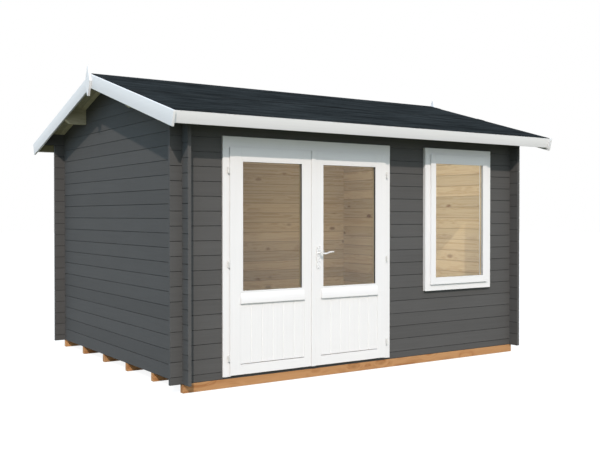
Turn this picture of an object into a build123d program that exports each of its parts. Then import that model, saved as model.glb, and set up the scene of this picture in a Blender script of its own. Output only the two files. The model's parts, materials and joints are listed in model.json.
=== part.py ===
"""A log-built garden shed with a double door, a tall window and a felted pitched roof.

Units are millimetres. +Z is up, the door side faces -Y and +X runs to the right.
The origin is on the ground, under the middle of the plan.
"""
from build123d import *
from math import ceil, cos, radians, sin, tan
import os

# Plan and logs
wall_width = 3600.0
wall_depth = 2780.0
log_thickness = 28.0
log_height = 114.0
log_gap = 0.4
log_end_length = 100.0
groove_height = 4.8
groove_depth = 5.5
tongue_height = 7.0
front_course_count = 18
sill_course_count = 5
header_course_count = 16
eaves_log_trim = 9.4
seat = 0.3
overrun = 50.0

# Bearers and floor
bearer_height = 70.0
bearer_width = 45.0
bearer_end_inset = 5.0
bearer_count = 6
floor_thickness = 18.0

# Roof
roof_pitch = 16.18
gable_overhang = 200.0
eaves_overhang = 300.0
roof_board_thickness = 18.0
felt_thickness = 3.0
fascia_thickness = 18.0
fascia_height = 94.0
felt_drip = 2.0
barge_thickness = 18.0
barge_width = 117.0
barge_end_reach = 20.0
purlin_width = 58.0
purlin_depth = 142.0
purlin_from_ridge = 712.0
purlin_splay_length = 50.0
purlin_splay_height = 35.0
ridge_purlin_width = 45.0
finial_width = 112.0
finial_thickness = 22.0
finial_rise = 75.0
finial_shoulder_drop = 66.0
finial_foot_drop = 195.0
finial_tip_width = 5.0
finial_foot_width = 12.0

# Door frame
door_centre_from_left = 1178.5
door_frame_width = 1677.0
frame_cover = 17.0
frame_face_width = 72.5
head_face_height = 100.0
frame_flange = 18.0
frame_inner_flange = 16.0
frame_web = 30.0
threshold_height = 19.0

# Door leaves
leaf_clearance = 5.0
leaf_lip_overlap = 16.0
leaf_lip_thickness = 8.0
leaf_body_thickness = 36.0
leaf_floor_clearance = 9.0
meeting_gap = 5.1
meeting_inset = 2.0
hinge_stile_width = 116.0
meeting_stile_width = 105.5
panel_hinge_stile = 92.5
panel_meeting_stile = 82.0
meeting_shift = 16.0
top_rail_height = 112.0
bottom_rail_height = 78.0
mid_rail_bottom = 565.0
mid_rail_top = 658.0
rebate_depth = 12.0
glazing_lip = 5.0
pane_thickness = 4.0
panel_thickness = 20.0
panel_setback = 4.0
panel_foot_gap = 6.0
panel_board_width = 96.0
panel_groove = 3.0
drip_height = 84.0
drip_projection = 13.0
drip_lip = 10.0
drip_drop = 8.0
cover_strip_width = 38.0
cover_strip_thickness = 9.0
cover_strip_rounding = 4.0

# Hinges
hinge_axis_offset = 12.8
hinge_axis_rise = 12.6
hinge_radius = 7.5
hinge_side_count = 12
hinge_knuckle_height = 27.0
hinge_pin_radius = 3.5
hinge_pin_play = 0.5
hinge_arm_width = 7.0
hinge_gap = 0.4
hinge_end_distance = 137.0
hinge_top_distance = 180.0

# Door handle
handle_from_edge = 53.0
handle_height = 939.0
handle_plate_width = 36.0
handle_plate_height = 186.0
handle_plate_thickness = 6.0
handle_plate_drop = 36.0
handle_plate_bevel = 6.0
handle_bore_radius = 6.0
spindle_radius = 4.0
lever_neck_radius = 9.0
lever_neck_length = 34.0
lever_length = 128.0
lever_height = 19.0
lever_tip_height = 13.0
lever_thickness = 13.0
lever_sway = 9.0

# Window
window_centre_from_left = 2845.0
window_frame_width = 838.0
window_sill_cover = 39.0
window_face_width = 73.0
window_casing = 31.0
window_web = 33.0
sash_lip_overlap = 16.0
sash_lip_thickness = 18.0
sash_body_thickness = 26.0
sash_stile_width = 58.0
sash_top_rail = 84.0
sash_bottom_rail = 64.0

# Levels and lines worked out from the sizes above
slope = tan(radians(roof_pitch))
half_width = wall_width / 2
half_depth = wall_depth / 2
base = bearer_height
half_log = log_height / 2
first_front_joint = base + half_log
plate_level = first_front_joint + front_course_count * log_height - eaves_log_trim
ridge_level = plate_level + half_depth * slope
gable_course_count = ceil((ridge_level - base) / log_height)
board_rise = roof_board_thickness / cos(radians(roof_pitch))
felt_rise = felt_thickness / cos(radians(roof_pitch))
roof_half_length = half_width + gable_overhang
eave_reach = half_depth + eaves_overhang
front_face = -half_depth
opening_top = first_front_joint + header_course_count * log_height
sill_joint = first_front_joint + sill_course_count * log_height
crossing_lap = log_height / 4

door_centre = door_centre_from_left - half_width
door_frame_half = door_frame_width / 2
door_frame_top = opening_top + frame_cover
door_hole_half = door_frame_half - frame_face_width + frame_web
door_clear_half = door_frame_half - frame_face_width
leaf_half_span = door_clear_half + leaf_lip_overlap
leaf_width = leaf_half_span - meeting_gap / 2
threshold_top = base + threshold_height
leaf_bottom = threshold_top + leaf_floor_clearance
leaf_top = door_frame_top - head_face_height + leaf_lip_overlap
flange_front = front_face - seat - frame_flange
leaf_back_of_lip = flange_front - leaf_clearance
leaf_front = leaf_back_of_lip - leaf_lip_thickness
leaf_back = leaf_back_of_lip + leaf_body_thickness
leaf_rebate = leaf_front + glazing_lip
leaf_inset = leaf_lip_overlap + leaf_clearance
glass_bottom = leaf_bottom + mid_rail_top
glass_top = leaf_top - top_rail_height
panel_bottom = leaf_bottom + bottom_rail_height
panel_top = leaf_bottom + mid_rail_bottom
hinge_y = flange_front - hinge_axis_rise
hinge_levels = [
    leaf_bottom + hinge_end_distance,
    leaf_bottom + (leaf_top - leaf_bottom - hinge_top_distance + hinge_end_distance) / 2,
    leaf_top - hinge_top_distance,
]

window_centre = window_centre_from_left - half_width
window_half = window_frame_width / 2
window_bottom = sill_joint - window_sill_cover
window_top = opening_top + frame_cover
window_clear_half = window_half - window_face_width
window_clear_bottom = window_bottom + window_face_width
window_clear_top = window_top - window_face_width
window_hole_half = window_clear_half + window_web
window_web_bottom = sill_joint + tongue_height + seat


def roof_underside(y):
    """Height of the underside of the roof boards at a distance y from the ridge."""
    return ridge_level - abs(y) * slope


def slope_point(inwards, depth):
    """A point (y, z) of the front slope, from its top over the fascia: up the slope, then into it."""
    return (
        -eave_reach + inwards * cos(radians(roof_pitch)) + depth * sin(radians(roof_pitch)),
        roof_edge_level + inwards * sin(radians(roof_pitch)) - depth * cos(radians(roof_pitch)),
    )


def block(low, high, mode=Mode.ADD):
    """A box between two opposite corners, in the part that is being built."""
    size = [b - a for a, b in zip(low, high)]
    middle = [(a + b) / 2 for a, b in zip(low, high)]
    with Locations(tuple(middle)):
        Box(*size, mode=mode)


def log_outline(height, grooved):
    """Section of a log: ridged on top, with a matching valley under and a bevelled outer lower edge."""
    low = log_gap / 2
    top = height - log_gap / 2
    middle = log_thickness / 2
    valley = [(middle, low + tongue_height)] if grooved else []
    return [
        (0, low + groove_height),
        (groove_depth, low),
        *valley,
        (log_thickness, low),
        (log_thickness, top),
        (middle, top + tongue_height),
        (groove_depth, top),
        (0, top),
    ]


def make_log(start, end, crossings, height=log_height, grooved=True, lowest=False):
    """A log along +X with its outer face on y = 0, notched at each crossing, the lowest only above."""
    lap = crossing_lap + log_gap / 2
    with BuildPart() as log:
        with BuildSketch(Plane.YZ.offset(start)):
            with BuildLine():
                Polyline(*log_outline(height, grooved), close=True)
            make_face()
        extrude(amount=end - start)
        for crossing in crossings:
            left = crossing - seat
            right = crossing + log_thickness + seat
            block((left, -overrun, height - lap), (right, overrun, height + overrun), Mode.SUBTRACT)
            if not lowest:
                block((left, -overrun, -overrun), (right, overrun, lap), Mode.SUBTRACT)
    return log.part


def courses(first, last, start_level):
    """Places of a stack of logs, one for each course."""
    return [Location((0, 0, start_level + course * log_height)) for course in range(first, last)]


def cut_to_roof():
    """Takes away what is above the underside of the roof boards, in the part that is being built."""
    reach = eave_reach + overrun
    height = ridge_level + overrun
    with BuildSketch(Plane.YZ.offset(-roof_half_length - overrun)) as above:
        with BuildLine():
            Polyline(
                (-reach, roof_underside(reach) - seat),
                (0, ridge_level - seat),
                (reach, roof_underside(reach) - seat),
                (reach, height),
                (-reach, height),
                close=True,
            )
        make_face()
    extrude(above.sketch, amount=2 * (roof_half_length + overrun), mode=Mode.SUBTRACT)


# Bearers and floor
bearer_pitch = (wall_depth - bearer_width) / (bearer_count - 1)
bearer_half_length = half_width - bearer_end_inset
with BuildPart() as floor_bearers:
    with Locations((0, 0, bearer_height / 2)):
        with GridLocations(0, bearer_pitch, 1, bearer_count):
            Box(2 * bearer_half_length, bearer_width, bearer_height)

floor_front = front_face + log_thickness + seat
with BuildPart() as floor_deck:
    block(
        (-half_width + log_thickness + seat, floor_front, base + seat),
        (half_width - log_thickness - seat, -floor_front, base + floor_thickness),
    )

# Front wall: logs beside the door, under and beside the window, and over both
left_crossing = -half_width
right_crossing = half_width - log_thickness
log_left_end = -half_width - log_end_length
log_right_end = half_width + log_end_length
door_hole_left = door_centre - door_hole_half - seat
door_hole_right = door_centre + door_hole_half + seat
window_hole_left = window_centre - window_hole_half - seat
window_hole_right = window_centre + window_hole_half + seat
front_place = Location((0, front_face, 0))

left_log = make_log(log_left_end, door_hole_left, [left_crossing])
left_half_log = make_log(log_left_end, door_hole_left, [left_crossing], half_log, False, True)
with BuildPart() as front_wall_left:
    with Locations(front_place):
        with Locations(Location((0, 0, base))):
            add(left_half_log)
        with Locations(*courses(0, header_course_count, first_front_joint)):
            add(left_log)

low_log = make_log(door_hole_right, log_right_end, [right_crossing])
low_half_log = make_log(door_hole_right, log_right_end, [right_crossing], half_log, False, True)
with BuildPart() as front_wall_below_window:
    with Locations(front_place):
        with Locations(Location((0, 0, base))):
            add(low_half_log)
        with Locations(*courses(0, sill_course_count, first_front_joint)):
            add(low_log)

middle_log = make_log(door_hole_right, window_hole_left, [])
with BuildPart() as front_wall_middle:
    with Locations(front_place):
        with Locations(*courses(sill_course_count, header_course_count, first_front_joint)):
            add(middle_log)

right_log = make_log(window_hole_right, log_right_end, [right_crossing])
with BuildPart() as front_wall_right:
    with Locations(front_place):
        with Locations(*courses(sill_course_count, header_course_count, first_front_joint)):
            add(right_log)

long_log = make_log(log_left_end, log_right_end, [left_crossing, right_crossing])
with BuildPart() as front_header_log:
    with Locations(front_place):
        with Locations(*courses(header_course_count, front_course_count - 1, first_front_joint)):
            add(long_log)

roof_log_half = roof_half_length - seat
eaves_log = make_log(-roof_log_half, roof_log_half, [left_crossing, right_crossing])
with BuildPart() as front_eaves_log:
    with Locations(front_place):
        with Locations(*courses(front_course_count - 1, front_course_count, first_front_joint)):
            add(eaves_log)
    cut_to_roof()

# Back wall, the front's logs turned round with no opening
both_crossings = [left_crossing, right_crossing]
long_half_log = make_log(log_left_end, log_right_end, both_crossings, half_log, False, True)
back_place = Location((0, half_depth, 0), (0, 0, 180))
with BuildPart() as back_wall:
    with Locations(back_place):
        with Locations(Location((0, 0, base))):
            add(long_half_log)
        with Locations(*courses(0, front_course_count - 1, first_front_joint)):
            add(long_log)

with BuildPart() as back_eaves_log:
    mirror(front_eaves_log.part, about=Plane.XZ)

# Roof timbers
ridge_purlin_bottom = base + (gable_course_count - 1) * log_height + seat
with BuildPart() as ridge_purlin:
    block(
        (-roof_log_half, -ridge_purlin_width / 2, ridge_purlin_bottom),
        (roof_log_half, ridge_purlin_width / 2, ridge_level),
    )
    cut_to_roof()

purlin_far = purlin_from_ridge + purlin_width
purlin_bottom = roof_underside(purlin_from_ridge) - purlin_depth
splay_start = roof_log_half - purlin_splay_length
splay_level = purlin_bottom + purlin_splay_height
with BuildPart() as front_purlin:
    with BuildSketch(Plane.XZ.offset(purlin_from_ridge)) as purlin_outline:
        with BuildLine():
            Polyline(
                (-splay_start, purlin_bottom),
                (splay_start, purlin_bottom),
                (roof_log_half, splay_level),
                (roof_log_half, ridge_level),
                (-roof_log_half, ridge_level),
                (-roof_log_half, splay_level),
                close=True,
            )
        make_face()
    extrude(amount=purlin_width)
    cut_to_roof()

with BuildPart() as back_purlin:
    mirror(front_purlin.part, about=Plane.XZ)

# Gable walls: each log is crossed by the front and back walls, and the purlins pass through
gable_half = half_depth + log_end_length
gable_crossings = [-half_depth, half_depth - log_thickness]
gable_log = make_log(-gable_half, gable_half, gable_crossings)
gable_first_log = make_log(-gable_half, gable_half, gable_crossings, log_height, False)
gable_place = Location((-half_width, 0, 0), (0, 0, -90))
with BuildPart() as left_gable_wall:
    with Locations(gable_place):
        with Locations(Location((0, 0, base))):
            add(gable_first_log)
        with Locations(*courses(1, gable_course_count, base)):
            add(gable_log)
    cut_to_roof()
    for side in (-1, 1):
        near = side * (purlin_from_ridge - seat)
        far = side * (purlin_far + seat)
        block(
            (-half_width - overrun, min(near, far), purlin_bottom - seat),
            (-half_width + overrun, max(near, far), ridge_level),
            Mode.SUBTRACT,
        )
    ridge_side = ridge_purlin_width / 2 + seat
    block(
        (-half_width - overrun, -ridge_side, ridge_purlin_bottom - seat),
        (-half_width + overrun, ridge_side, ridge_level),
        Mode.SUBTRACT,
    )

with BuildPart() as right_gable_wall:
    mirror(left_gable_wall.part, about=Plane.YZ)

# Roof boards, which stop at the back of the fascia, and felt, which laps over the fascia's top
board_half_length = roof_half_length - seat
felt_level = ridge_level + board_rise + seat
roof_edge_level = felt_level + felt_rise - eave_reach * slope
covering_start = fascia_thickness + seat
board_top_depth = felt_thickness + seat * cos(radians(roof_pitch))
board_low_depth = board_top_depth + roof_board_thickness
with BuildPart() as front_roof_boards:
    with BuildSketch(Plane.YZ) as board_section:
        with BuildLine():
            Polyline(
                (-seat / 2, roof_underside(seat / 2)),
                slope_point(covering_start, board_low_depth),
                slope_point(covering_start, board_top_depth),
                (-seat / 2, roof_underside(seat / 2) + board_rise),
                close=True,
            )
        make_face()
    extrude(amount=board_half_length, both=True)

with BuildPart() as back_roof_boards:
    mirror(front_roof_boards.part, about=Plane.XZ)

with BuildPart() as roof_felt:
    with BuildSketch(Plane.YZ) as felt_section:
        with BuildLine():
            Polyline(
                (-seat / 2, felt_level - seat / 2 * slope),
                slope_point(-felt_drip, felt_thickness),
                slope_point(-felt_drip, 0),
                (-seat / 2, felt_level - seat / 2 * slope + felt_rise),
                close=True,
            )
        make_face()
    extrude(amount=board_half_length, both=True)
    mirror(about=Plane.XZ)

# Roof edges, flush with the top of the roof boards: the fascia stands square to the slope
fascia_low_depth = board_top_depth + fascia_height
with BuildPart() as front_fascia:
    with BuildSketch(Plane.YZ) as fascia_section:
        with BuildLine():
            Polyline(
                slope_point(0, board_top_depth),
                slope_point(0, fascia_low_depth),
                slope_point(fascia_thickness, fascia_low_depth),
                slope_point(fascia_thickness, board_top_depth),
                close=True,
            )
        make_face()
    extrude(amount=board_half_length, both=True)

with BuildPart() as back_fascia:
    mirror(front_fascia.part, about=Plane.XZ)

barge_peak = felt_level - seat
barge_end = eave_reach + barge_end_reach
barge_fall = barge_width / cos(radians(roof_pitch))
barge_skew = barge_width * sin(radians(roof_pitch))
barge_depth = barge_width * cos(radians(roof_pitch))
with BuildPart() as left_barge_boards:
    with BuildSketch(Plane.YZ.offset(-roof_half_length - barge_thickness)) as barge_outline:
        with BuildLine():
            Polyline(
                (-log_gap / 2, barge_peak - log_gap / 2 * slope),
                (-barge_end, barge_peak - barge_end * slope),
                (-barge_end + barge_skew, barge_peak - barge_end * slope - barge_depth),
                (-log_gap / 2, barge_peak - log_gap / 2 * slope - barge_fall),
                close=True,
            )
        make_face()
    extrude(amount=barge_thickness)
    mirror(about=Plane.XZ)

with BuildPart() as right_barge_boards:
    mirror(left_barge_boards.part, about=Plane.YZ)

finial_shoulder = barge_peak - finial_shoulder_drop
finial_foot = barge_peak - finial_foot_drop
finial_top = barge_peak + finial_rise
with BuildPart() as left_finial:
    with BuildSketch(Plane.YZ.offset(-roof_half_length - barge_thickness - seat)) as finial_outline:
        with BuildLine():
            Polyline(
                (finial_tip_width / 2, finial_top),
                (finial_width / 2, finial_shoulder),
                (finial_foot_width / 2, finial_foot),
                (-finial_foot_width / 2, finial_foot),
                (-finial_width / 2, finial_shoulder),
                (-finial_tip_width / 2, finial_top),
                close=True,
            )
        make_face()
    extrude(amount=-finial_thickness)

with BuildPart() as right_finial:
    mirror(left_finial.part, about=Plane.YZ)

# Door frame: channels that the log ends slot into
flange_back = front_face + log_thickness + seat
frame_back = flange_back + frame_inner_flange
head_bottom = door_frame_top - head_face_height
frame_left = door_centre - door_frame_half
clear_left = door_centre - door_clear_half
hole_left = door_centre - door_hole_half
with BuildPart() as left_door_jamb:
    block((frame_left, flange_front, threshold_top), (clear_left, front_face - seat, head_bottom))
    block((hole_left, flange_front, threshold_top), (clear_left, frame_back, head_bottom))
    block((frame_left, flange_back, threshold_top), (clear_left, frame_back, head_bottom))

door_plane = Plane.YZ.offset(door_centre)
with BuildPart() as right_door_jamb:
    mirror(left_door_jamb.part, about=door_plane)

with BuildPart() as door_head:
    head_low = head_bottom + seat
    block(
        (frame_left, flange_front, head_low),
        (door_centre + door_frame_half, front_face - seat, door_frame_top),
    )
    block(
        (hole_left, flange_front, head_low),
        (door_centre + door_hole_half, frame_back, head_bottom + frame_web),
    )
    block(
        (frame_left, flange_back, head_low),
        (door_centre + door_frame_half, frame_back, door_frame_top),
    )

with BuildPart() as door_threshold:
    block(
        (hole_left, front_face, base + seat),
        (door_centre + door_hole_half, floor_front - 2 * seat, threshold_top - seat),
    )

# Door leaves: the left one is built, and the right one mirrors it
leaf_left = door_centre - leaf_half_span
leaf_meeting = leaf_left + leaf_width
glass_left = leaf_left + hinge_stile_width
glass_right = leaf_meeting - meeting_stile_width
panel_left = leaf_left + panel_hinge_stile
panel_right = leaf_meeting - panel_meeting_stile


def leaf_frame(edge):
    """Stiles and rails of a left leaf up to its meeting edge, with a lip that laps over the frame."""
    with BuildPart() as leaf:
        block((leaf_left, leaf_front, leaf_bottom), (edge, leaf_back_of_lip, leaf_top))
        block(
            (leaf_left + leaf_inset, leaf_front, leaf_bottom),
            (edge - meeting_inset, leaf_back, leaf_top - leaf_inset),
        )
        block(
            (glass_left, leaf_front - overrun, glass_bottom),
            (glass_right, leaf_back + overrun, glass_top),
            Mode.SUBTRACT,
        )
        block(
            (glass_left - rebate_depth, leaf_rebate, glass_bottom - rebate_depth),
            (glass_right + rebate_depth, leaf_back + overrun, glass_top + rebate_depth),
            Mode.SUBTRACT,
        )
        block(
            (panel_left, leaf_front - overrun, panel_bottom),
            (panel_right, leaf_back + overrun, panel_top),
            Mode.SUBTRACT,
        )
    return leaf.part


with BuildPart() as left_door_frame:
    add(leaf_frame(leaf_meeting - meeting_shift))

with BuildPart() as left_door_glass:
    pane_margin = rebate_depth - seat
    block(
        (glass_left - pane_margin, leaf_rebate + seat, glass_bottom - pane_margin),
        (glass_right + pane_margin, leaf_rebate + seat + pane_thickness, glass_top + pane_margin),
    )

panel_front = leaf_front + panel_setback
panel_boards = round((panel_right - panel_left) / panel_board_width)
panel_pitch = (panel_right - panel_left) / panel_boards
with BuildPart() as left_door_panel:
    block(
        (panel_left + seat, panel_front, panel_bottom + panel_foot_gap),
        (panel_right - seat, panel_front + panel_thickness, panel_top - seat),
    )
    with BuildSketch(Plane.XY.offset(panel_bottom - overrun)) as board_grooves:
        with Locations(((panel_left + panel_right) / 2, panel_front)):
            with GridLocations(panel_pitch, 0, panel_boards - 1, 1):
                Rectangle(2 * panel_groove, 2 * panel_groove, rotation=45)
    extrude(amount=panel_top - panel_bottom + 2 * overrun, mode=Mode.SUBTRACT)

drip_bottom = panel_top - drip_drop + seat
drip_back = leaf_front - seat
drip_front = leaf_front - drip_projection
with BuildPart() as left_door_drip:
    with BuildSketch(Plane.YZ.offset(panel_left + seat)) as drip_section:
        with BuildLine():
            Polyline(
                (drip_back, drip_bottom + drip_height),
                (drip_back, drip_bottom),
                (drip_front, drip_bottom),
                (drip_front, drip_bottom + drip_lip),
            )
            TangentArc(
                (drip_front, drip_bottom + drip_lip),
                (drip_back, drip_bottom + drip_height),
                tangent=(0, 1),
            )
        make_face()
    extrude(amount=panel_right - panel_left - 2 * seat)

handle_x = 2 * door_centre - leaf_meeting + handle_from_edge
handle_level = leaf_bottom + handle_height
with BuildPart() as right_door_frame:
    mirror(leaf_frame(leaf_meeting + meeting_shift), about=door_plane)
    with Locations(Location((handle_x, leaf_front, handle_level), (90, 0, 0))):
        Cylinder(handle_bore_radius, 2 * (leaf_back - leaf_front), mode=Mode.SUBTRACT)

with BuildPart() as right_door_glass:
    mirror(left_door_glass.part, about=door_plane)

with BuildPart() as right_door_panel:
    mirror(left_door_panel.part, about=door_plane)

with BuildPart() as right_door_drip:
    mirror(left_door_drip.part, about=door_plane)

strip_left = 2 * door_centre - leaf_meeting - meeting_shift
with BuildPart() as right_door_cover_strip:
    block(
        (strip_left, leaf_front - seat - cover_strip_thickness, leaf_bottom),
        (strip_left + cover_strip_width, leaf_front - seat, leaf_top),
    )
    fillet(
        right_door_cover_strip.edges().filter_by(Axis.Z).group_by(Axis.Y)[0],
        cover_strip_rounding,
    )

# Hinges: a pin on the frame carries a knuckle on the leaf
hinge_x = leaf_left - hinge_axis_offset
hinge_bore_radius = hinge_pin_radius + hinge_pin_play
hinge_pin_height = hinge_knuckle_height - 2 * hinge_pin_play
arm_drop = hinge_knuckle_height / 2


def barrel(radius, height, mode=Mode.ADD):
    """A many-sided barrel round the hinge axis, in the part that is being built."""
    with BuildPart(mode=Mode.PRIVATE) as sides:
        with BuildSketch(Plane.XY.offset(-height / 2)):
            RegularPolygon(radius, hinge_side_count)
        extrude(amount=height)
    add(sides.part, mode=mode)


def frame_hinge():
    """Lower half of a hinge, with its pin and the arm that is screwed into the door frame."""
    arm_length = flange_front - seat - hinge_y
    with BuildPart() as hinge:
        with Locations((0, 0, -hinge_gap / 2 - hinge_knuckle_height / 2)):
            barrel(hinge_radius, hinge_knuckle_height)
        with Locations((0, 0, -hinge_gap / 2 + hinge_pin_height / 2)):
            Cylinder(hinge_pin_radius, hinge_pin_height)
        with Locations((0, arm_length / 2, -arm_drop)):
            Box(hinge_arm_width, arm_length, hinge_arm_width)
    return hinge.part


def leaf_hinge():
    """Upper half of a left hinge, with its bore and the arm that is screwed into the leaf."""
    arm_length = hinge_axis_offset - seat
    with BuildPart() as hinge:
        with Locations((arm_length / 2, 0, arm_drop)):
            Box(arm_length, hinge_arm_width, hinge_arm_width)
        with Locations((0, 0, hinge_gap / 2 + hinge_knuckle_height / 2)):
            barrel(hinge_radius, hinge_knuckle_height)
        with Locations((0, 0, hinge_gap / 2 + hinge_pin_height / 2)):
            barrel(hinge_bore_radius, hinge_pin_height + hinge_gap, Mode.SUBTRACT)
    return hinge.part


hinge_places = [Location((hinge_x, hinge_y, level)) for level in hinge_levels]
with BuildPart() as door_frame_hinges:
    with Locations(*hinge_places):
        add(frame_hinge())
    mirror(about=door_plane)

with BuildPart() as left_door_hinges:
    with Locations(*hinge_places):
        add(leaf_hinge())

with BuildPart() as right_door_hinges:
    mirror(left_door_hinges.part, about=door_plane)

# Door handle: a plate on each side of the leaf, and two levers on one spindle
plate_middle = handle_level - handle_plate_drop
with BuildPart() as handle_plates:
    for plate_y in (leaf_front - seat - handle_plate_thickness, leaf_back + seat):
        with BuildSketch(Plane((0, plate_y, 0), x_dir=(1, 0, 0), z_dir=(0, 1, 0))) as plate_outline:
            with Locations((handle_x, -plate_middle)):
                Rectangle(handle_plate_width, handle_plate_height)
            chamfer(plate_outline.vertices(), handle_plate_bevel)
            with Locations((handle_x, -handle_level)):
                Circle(handle_bore_radius, mode=Mode.SUBTRACT)
        extrude(amount=handle_plate_thickness)

plate_face = leaf_front - 2 * seat - handle_plate_thickness
plate_back_face = leaf_back + 2 * seat + handle_plate_thickness
lever_plane = plate_face - lever_neck_length
leaf_middle = (leaf_front + leaf_back) / 2


def lever():
    """The outer lever with its neck: an arm that dips a little and rises again to its tip."""
    with BuildPart() as half:
        with BuildSketch(Plane.XZ.offset(-lever_plane)) as arm_outline:
            with BuildLine():
                top_start = (0, lever_height / 2)
                top_end = (lever_length, lever_sway + lever_tip_height / 2)
                low_start = (0, -lever_height / 2)
                low_end = (lever_length, lever_sway - lever_tip_height / 2)
                upper = TangentArc(top_start, top_end, tangent=(1, 0))
                lower = TangentArc(low_start, low_end, tangent=(1, 0))
                Line(upper @ 1, lower @ 1)
                ThreePointArc(top_start, (-lever_height / 2, 0), low_start)
            make_face()
        extrude(amount=lever_thickness)
        with Locations(Location((0, (lever_plane + plate_face) / 2, 0), (90, 0, 0))):
            Cylinder(lever_neck_radius, lever_neck_length)
    return half.part


with BuildPart() as door_handle:
    with Locations((handle_x, 0, handle_level)):
        add(lever())
    mirror(about=Plane.XZ.offset(-leaf_middle))
    with Locations(Location((handle_x, leaf_middle, handle_level), (90, 0, 0))):
        Cylinder(spindle_radius, plate_back_face - plate_face + lever_neck_radius)

# Window: a frame that the logs slot into, a sash and its pane
window_left = window_centre - window_half
window_right = window_centre + window_half
window_clear_left = window_centre - window_clear_half
window_clear_right = window_centre + window_clear_half
casing_front = front_face - seat - window_casing
with BuildPart() as window_frame:
    block((window_left, casing_front, window_bottom), (window_right, front_face - seat, window_top))
    block(
        (window_centre - window_hole_half, casing_front, window_web_bottom),
        (window_centre + window_hole_half, frame_back, window_clear_top + window_web),
    )
    block((window_left, flange_back, window_bottom), (window_right, frame_back, window_top))
    block(
        (window_clear_left, casing_front - overrun, window_clear_bottom),
        (window_clear_right, frame_back + overrun, window_clear_top),
        Mode.SUBTRACT,
    )

sash_lip_back = casing_front - seat
sash_front = sash_lip_back - sash_lip_thickness
sash_back = sash_lip_back + sash_body_thickness
sash_rebate = sash_front + glazing_lip
sash_left = window_clear_left - sash_lip_overlap
sash_right = window_clear_right + sash_lip_overlap
sash_low = window_clear_bottom - sash_lip_overlap
sash_high = window_clear_top + sash_lip_overlap
sash_glass_low = sash_low + sash_bottom_rail
sash_glass_high = sash_high - sash_top_rail
sash_glass_left = sash_left + sash_stile_width
sash_glass_right = sash_right - sash_stile_width
with BuildPart() as window_sash:
    block((sash_left, sash_front, sash_low), (sash_right, sash_lip_back, sash_high))
    block(
        (window_clear_left + seat, sash_front, window_clear_bottom + seat),
        (window_clear_right - seat, sash_back, window_clear_top - seat),
    )
    block(
        (sash_glass_left, sash_front - overrun, sash_glass_low),
        (sash_glass_right, sash_back + overrun, sash_glass_high),
        Mode.SUBTRACT,
    )
    block(
        (sash_glass_left - rebate_depth, sash_rebate, sash_glass_low - rebate_depth),
        (sash_glass_right + rebate_depth, sash_back + overrun, sash_glass_high + rebate_depth),
        Mode.SUBTRACT,
    )

with BuildPart() as window_glass:
    block(
        (sash_glass_left - pane_margin, sash_rebate + seat, sash_glass_low - pane_margin),
        (
            sash_glass_right + pane_margin,
            sash_rebate + seat + pane_thickness,
            sash_glass_high + pane_margin,
        ),
    )

# One STEP file for each piece
pieces = {
    "floor_bearers": floor_bearers,
    "floor_deck": floor_deck,
    "front_wall_left": front_wall_left,
    "front_wall_below_window": front_wall_below_window,
    "front_wall_middle": front_wall_middle,
    "front_wall_right": front_wall_right,
    "front_header_log": front_header_log,
    "front_eaves_log": front_eaves_log,
    "back_wall": back_wall,
    "back_eaves_log": back_eaves_log,
    "left_gable_wall": left_gable_wall,
    "right_gable_wall": right_gable_wall,
    "front_purlin": front_purlin,
    "ridge_purlin": ridge_purlin,
    "back_purlin": back_purlin,
    "front_roof_boards": front_roof_boards,
    "back_roof_boards": back_roof_boards,
    "roof_felt": roof_felt,
    "front_fascia": front_fascia,
    "back_fascia": back_fascia,
    "left_barge_boards": left_barge_boards,
    "right_barge_boards": right_barge_boards,
    "left_finial": left_finial,
    "right_finial": right_finial,
    "left_door_jamb": left_door_jamb,
    "right_door_jamb": right_door_jamb,
    "door_head": door_head,
    "door_threshold": door_threshold,
    "door_frame_hinges": door_frame_hinges,
    "left_door_frame": left_door_frame,
    "left_door_panel": left_door_panel,
    "left_door_glass": left_door_glass,
    "left_door_drip": left_door_drip,
    "left_door_hinges": left_door_hinges,
    "right_door_frame": right_door_frame,
    "right_door_panel": right_door_panel,
    "right_door_glass": right_door_glass,
    "right_door_drip": right_door_drip,
    "right_door_cover_strip": right_door_cover_strip,
    "right_door_hinges": right_door_hinges,
    "handle_plates": handle_plates,
    "door_handle": door_handle,
    "window_frame": window_frame,
    "window_sash": window_sash,
    "window_glass": window_glass,
}
os.makedirs("parts", exist_ok=True)
for name, piece in pieces.items():
    piece.part.label = name
    export_step(piece.part, f"parts/{name}.step")
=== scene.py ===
"""Finishes a log-built garden shed: paint, timber, felt, glass, ironmongery and a plain stage.

Every size is in metres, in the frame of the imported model: +Z is up and the door side faces -Y.
"""
import json
from itertools import product
from math import atan2, cos, pi, radians, sin

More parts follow.
